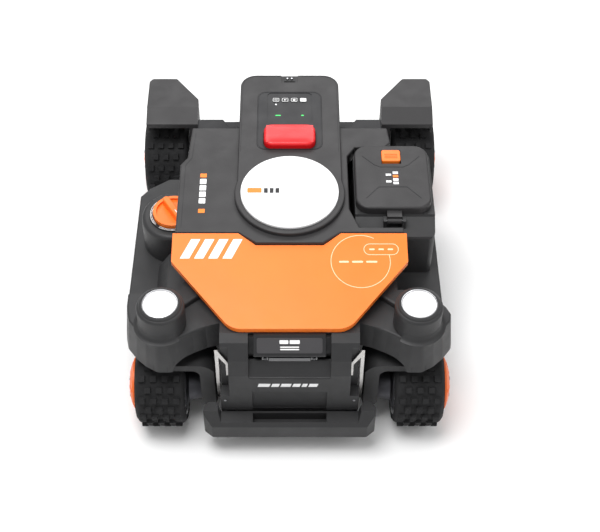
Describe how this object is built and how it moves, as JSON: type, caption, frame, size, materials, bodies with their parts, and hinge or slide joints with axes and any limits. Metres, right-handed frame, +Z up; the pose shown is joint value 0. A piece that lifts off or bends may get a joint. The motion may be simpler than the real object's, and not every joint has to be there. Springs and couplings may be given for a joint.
{
  "type": "robotic lawn mower",
  "caption": "Four-wheeled robotic lawn mower with steered, motor-driven front wheels under guards, an orange sloping hood, a stop button and a height dial.",
  "frame": {"origin": "on the ground under the middle of the machine's length and width", "axes": "+Z up; +Y towards the machine's rear, so it drives towards -Y; +X to its right hand side seen from the front camera's side, with the battery bay at +X and the height dial at -X"},
  "size_m": [0.5684, 0.7057, 0.3117],
  "materials": {
    "tyre": "fine matt rubber with square knobs",
    "rim": "pale silver moulded plastic, satin",
    "orange_plastic": "fine textured orange plastic",
    "grey_plastic": "fine textured dark grey plastic",
    "dark_plastic": "textured black plastic",
    "panel_gloss": "smooth black panel",
    "white_plastic": "smooth white plastic",
    "stop_red": "glossy red button",
    "contact_steel": "satin strip",
    "steel": "satin, ground edges",
    "motor_metal": "cast motor case",
    "lens_glass": "dark clear window",
    "circuit_board": "green board with parts",
    "battery_case": "black battery case"
  },
  "bodies": {
    "chassis": {"chassis_tub": "grey_plastic", "belly_plate": "dark_plastic", "belly_screws": "steel", "rear_gearmotor_left": "motor_metal", "rear_gearmotor_right": "motor_metal", "front_arm_left": "grey_plastic", "front_arm_right": "grey_plastic", "tower_caps": "white_plastic", "steering_motor_left": "motor_metal", "steering_motor_right": "motor_metal", "side_pod_left": "grey_plastic", "side_panel_right": "grey_plastic", "dial_ring": "dark_plastic", "front_nose": "grey_plastic", "camera_housing": "dark_plastic", "camera_window": "lens_glass", "charging_contacts": "contact_steel", "orange_hood": "orange_plastic", "top_cover": "grey_plastic", "antenna_disc": "white_plastic", "control_panel": "panel_gloss", "rain_sensor": "dark_plastic", "battery_bay": "grey_plastic", "battery_pack": "battery_case", "lid_hinge_pin": "steel", "rear_fender_left": "grey_plastic", "rear_fender_right": "grey_plastic", "main_board": "circuit_board"},
    "steering_left": {"steering_knuckle_left": "dark_plastic", "front_hub_motor_left": "motor_metal"},
    "front_wheel_left": {"front_tyre_left": "tyre", "front_rim_left": "rim", "front_hub_cap_left": "orange_plastic"},
    "rear_wheel_left": {"rear_tyre_left": "tyre", "rear_rim_left": "rim", "rear_hub_cap_left": "orange_plastic"},
    "steering_right": {"steering_knuckle_right": "dark_plastic", "front_hub_motor_right": "motor_metal"},
    "front_wheel_right": {"front_tyre_right": "tyre", "front_rim_right": "rim", "front_hub_cap_right": "orange_plastic"},
    "rear_wheel_right": {"rear_tyre_right": "tyre", "rear_rim_right": "rim", "rear_hub_cap_right": "orange_plastic"},
    "height_dial": {"height_dial": "orange_plastic"},
    "cutter_lift": {"cutter_carrier": "dark_plastic", "cutter_motor": "motor_metal"},
    "blade_disc": {"blade_disc": "steel", "blade_screws": "steel"},
    "blade_1": {"blade_1": "steel"},
    "blade_2": {"blade_2": "steel"},
    "blade_3": {"blade_3": "steel"},
    "stop_button": {"stop_button": "stop_red"},
    "power_key": {"power_key": "panel_gloss"},
    "start_key": {"start_key": "panel_gloss"},
    "home_key": {"home_key": "panel_gloss"},
    "confirm_key": {"confirm_key": "panel_gloss"},
    "battery_lid": {"battery_lid": "grey_plastic"},
    "lid_latch": {"lid_latch": "orange_plastic"},
    "bumper": {"bumper": "dark_plastic"}
  },
  "joints": [
    {"name": "steering_left", "type": "hinge", "parent": "chassis", "child": "steering_left", "pos_m": [-0.203, -0.262, 0.17], "axis": [0, 0, 1], "range_deg": [-25, 70]},
    {"name": "front_wheel_left", "type": "hinge", "parent": "steering_left", "child": "front_wheel_left", "pos_m": [-0.2147, -0.262, 0.074], "axis": [1, 0, 0], "continuous": true},
    {"name": "rear_wheel_left", "type": "hinge", "parent": "chassis", "child": "rear_wheel_left", "pos_m": [-0.236, 0.268, 0.085], "axis": [1, 0, 0], "continuous": true},
    {"name": "steering_right", "type": "hinge", "parent": "chassis", "child": "steering_right", "pos_m": [0.203, -0.262, 0.17], "axis": [0, 0, 1], "range_deg": [-70, 25]},
    {"name": "front_wheel_right", "type": "hinge", "parent": "steering_right", "child": "front_wheel_right", "pos_m": [0.2147, -0.262, 0.074], "axis": [1, 0, 0], "continuous": true},
    {"name": "rear_wheel_right", "type": "hinge", "parent": "chassis", "child": "rear_wheel_right", "pos_m": [0.236, 0.268, 0.085], "axis": [1, 0, 0], "continuous": true},
    {"name": "height_dial", "type": "hinge", "parent": "chassis", "child": "height_dial", "pos_m": [-0.2, -0.025, 0.24], "axis": [0, 0, 1], "range_deg": [-135, 135]},
    {"name": "cutter_lift", "type": "slide", "parent": "chassis", "child": "cutter_lift", "axis": [0, 0, 1], "range_m": [-0.015, 0.015]},
    {"name": "cutter_spin", "type": "hinge", "parent": "cutter_lift", "child": "blade_disc", "pos_m": [0, -0.005, 0.052], "axis": [0, 0, 1], "continuous": true},
    {"name": "blade_1_pivot", "type": "hinge", "parent": "blade_disc", "child": "blade_1", "pos_m": [0.082, -0.005, 0.0496], "axis": [0, 0, 1], "continuous": true},
    {"name": "blade_2_pivot", "type": "hinge", "parent": "blade_disc", "child": "blade_2", "pos_m": [-0.041, 0.06601, 0.0496], "axis": [0, 0, 1], "continuous": true},
    {"name": "blade_3_pivot", "type": "hinge", "parent": "blade_disc", "child": "blade_3", "pos_m": [-0.041, -0.07601, 0.0496], "axis": [0, 0, 1], "continuous": true},
    {"name": "stop_button_press", "type": "slide", "parent": "chassis", "child": "stop_button", "axis": [0, 0, -1], "range_m": [0, 0.004], "stiffness_N_per_m": 800, "springref_m": -0.004},
    {"name": "power_key_press", "type": "slide", "parent": "chassis", "child": "power_key", "axis": [0, 0, -1], "range_m": [0, 0.0008], "stiffness_N_per_m": 500, "springref_m": -0.0005},
    {"name": "start_key_press", "type": "slide", "parent": "chassis", "child": "start_key", "axis": [0, 0, -1], "range_m": [0, 0.0008], "stiffness_N_per_m": 500, "springref_m": -0.0005},
    {"name": "home_key_press", "type": "slide", "parent": "chassis", "child": "home_key", "axis": [0, 0, -1], "range_m": [0, 0.0008], "stiffness_N_per_m": 500, "springref_m": -0.0005},
    {"name": "confirm_key_press", "type": "slide", "parent": "chassis", "child": "confirm_key", "axis": [0, 0, -1], "range_m": [0, 0.0008], "stiffness_N_per_m": 500, "springref_m": -0.0005},
    {"name": "battery_lid_hinge", "type": "hinge", "parent": "chassis", "child": "battery_lid", "pos_m": [0.1745, -0.081, 0.283], "axis": [1, 0, 0], "range_deg": [0, 95]},
    {"name": "lid_latch_slide", "type": "slide", "parent": "battery_lid", "child": "lid_latch", "axis": [0, -1, 0], "range_m": [0, 0.005], "stiffness_N_per_m": 300, "springref_m": -0.001},
    {"name": "bumper_press", "type": "slide", "parent": "chassis", "child": "bumper", "axis": [0, 1, 0], "range_m": [0, 0.006], "stiffness_N_per_m": 3000, "springref_m": -0.001}
  ],
  "couplings": [
    {"joint": "height_dial", "follows": "cutter_lift", "rad_per_m": 157.08}
  ]
}
